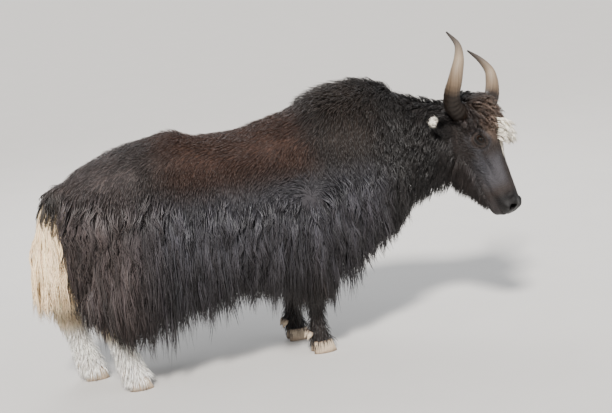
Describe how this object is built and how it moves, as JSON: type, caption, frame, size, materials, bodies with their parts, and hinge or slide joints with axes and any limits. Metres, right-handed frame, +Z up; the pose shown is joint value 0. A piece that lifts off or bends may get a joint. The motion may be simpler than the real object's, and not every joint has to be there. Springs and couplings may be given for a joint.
{
  "type": "yak",
  "caption": "Life-size standing yak bull with a long hanging coat, humped shoulders, upswept horns, a bushy tail and the head turned to its right.",
  "frame": {"origin": "on the floor under the middle of the box round the whole animal", "axes": "+X forward along the trunk, +Y to the animal's left, +Z up from the floor under the hooves"},
  "size_m": [2.4329, 0.7196, 1.4058],
  "materials": {
    "head": "short black-brown hair with a white forehead mark, curls on the poll and bare dark muzzle skin",
    "neck": "black-brown mane hair",
    "forequarters": "short black-brown hair above, long blue-black hanging hair below",
    "barrel": "short red-brown hair on the back, long black hanging hair below",
    "hindquarters": "grey-black hair, long on the thighs",
    "tail": "cream tail brush, dark at its root",
    "leg_fore_right": "short black hair",
    "leg_fore_left": "short black hair",
    "leg_hind_right": "white sock below, black hair above",
    "leg_hind_left": "white sock below, black hair above",
    "claw_fore_right_outer": "pale grey-beige hoof horn",
    "claw_fore_right_inner": "pale grey-beige hoof horn",
    "claw_fore_left_outer": "pale grey-beige hoof horn",
    "claw_fore_left_inner": "pale grey-beige hoof horn",
    "claw_hind_right_outer": "pale grey-beige hoof horn",
    "claw_hind_right_inner": "pale grey-beige hoof horn",
    "claw_hind_left_outer": "pale grey-beige hoof horn",
    "claw_hind_left_inner": "pale grey-beige hoof horn",
    "ear_right": "white hair at the tip, black hair towards the root",
    "ear_left": "white hair at the tip, black hair towards the root",
    "eye_right": "wet dark brown eye",
    "eye_left": "wet dark brown eye",
    "horn_right": "grey-cream horn, tan and ringed at the base",
    "horn_left": "grey-cream horn, tan and ringed at the base"
  },
  "bodies": {
    "root": {"head": "head", "neck": "neck", "forequarters": "forequarters", "barrel": "barrel", "hindquarters": "hindquarters", "tail": "tail", "leg_fore_right": "leg_fore_right", "leg_fore_left": "leg_fore_left", "leg_hind_right": "leg_hind_right", "leg_hind_left": "leg_hind_left", "claw_fore_right_outer": "claw_fore_right_outer", "claw_fore_right_inner": "claw_fore_right_inner", "claw_fore_left_outer": "claw_fore_left_outer", "claw_fore_left_inner": "claw_fore_left_inner", "claw_hind_right_outer": "claw_hind_right_outer", "claw_hind_right_inner": "claw_hind_right_inner", "claw_hind_left_outer": "claw_hind_left_outer", "claw_hind_left_inner": "claw_hind_left_inner", "ear_right": "ear_right", "ear_left": "ear_left", "eye_right": "eye_right", "eye_left": "eye_left", "horn_right": "horn_right", "horn_left": "horn_left"}
  },
  "joints": []
}
